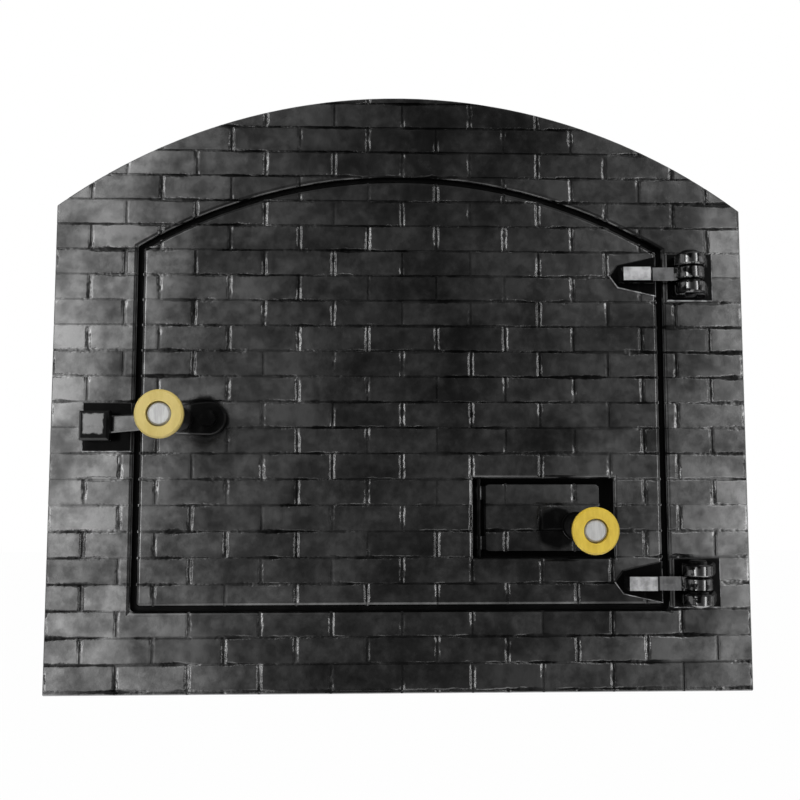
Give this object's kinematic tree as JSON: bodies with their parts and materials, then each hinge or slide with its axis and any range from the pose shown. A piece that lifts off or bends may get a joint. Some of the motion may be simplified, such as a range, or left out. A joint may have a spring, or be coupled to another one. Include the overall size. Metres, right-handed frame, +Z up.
{
  "type": "pizza oven door",
  "caption": "Arched cast-iron door in a brick-patterned frame on pin hinges, with a drop latch, a draught flap and turned wooden handles.",
  "frame": {"origin": "middle of the frame plate's foot, on the plate's back face, which bears on the wall", "axes": "+X to the right as seen from the front, +Y into the wall, +Z up"},
  "size_m": [0.64, 0.178, 0.552],
  "materials": {
    "cast_iron": "black satin paint over cast iron, worn paler along the raised edges",
    "steel": "dull plated steel",
    "black_steel": "steel painted black with the castings",
    "bolt_steel": "bright, lightly brushed steel",
    "strap_steel": "bare mild steel strip with dark mill scale",
    "handle_wood": "turned light wood with yellow varnish"
  },
  "bodies": {
    "surround": {"frame": "cast_iron", "hinge_pin_bottom": "black_steel", "hinge_pin_top": "black_steel", "hinge_washer_bottom": "black_steel", "hinge_washer_top": "black_steel", "anchor_strap_1": "strap_steel", "anchor_bolt_1": "steel", "anchor_nut_1": "steel", "anchor_strap_2": "strap_steel", "anchor_bolt_2": "steel", "anchor_nut_2": "steel", "anchor_strap_3": "strap_steel", "anchor_bolt_3": "steel", "anchor_nut_3": "steel", "anchor_strap_4": "strap_steel", "anchor_bolt_4": "steel", "anchor_nut_4": "steel"},
    "door": {"door_leaf": "cast_iron", "latch_pivot_bolt": "black_steel", "latch_pivot_washer": "black_steel", "latch_spring_washer": "steel", "latch_pivot_nut": "steel", "vent_hinge_pin": "black_steel"},
    "latch": {"latch_lever": "cast_iron", "latch_handle": "handle_wood", "latch_handle_sleeve": "black_steel", "latch_handle_bolt": "bolt_steel"},
    "vent": {"vent_flap": "cast_iron", "vent_handle": "handle_wood", "vent_handle_sleeve": "black_steel", "vent_handle_bolt": "bolt_steel", "vent_handle_washer": "steel", "vent_handle_nut": "steel"}
  },
  "joints": [
    {"name": "door_hinge", "type": "hinge", "parent": "surround", "child": "door", "pos_m": [0.266, -0.0225, 0.24], "axis": [0, 0, 1], "range_deg": [0, 130]},
    {"name": "latch_lift", "type": "hinge", "parent": "door", "child": "latch", "pos_m": [-0.175, -0.015, 0.247], "axis": [0, 1, 0], "range_deg": [0, 90]},
    {"name": "vent_hinge", "type": "hinge", "parent": "door", "child": "vent", "pos_m": [0.071, 0.0028, 0.1566], "axis": [0, 0, -1], "range_deg": [0, 85]}
  ]
}
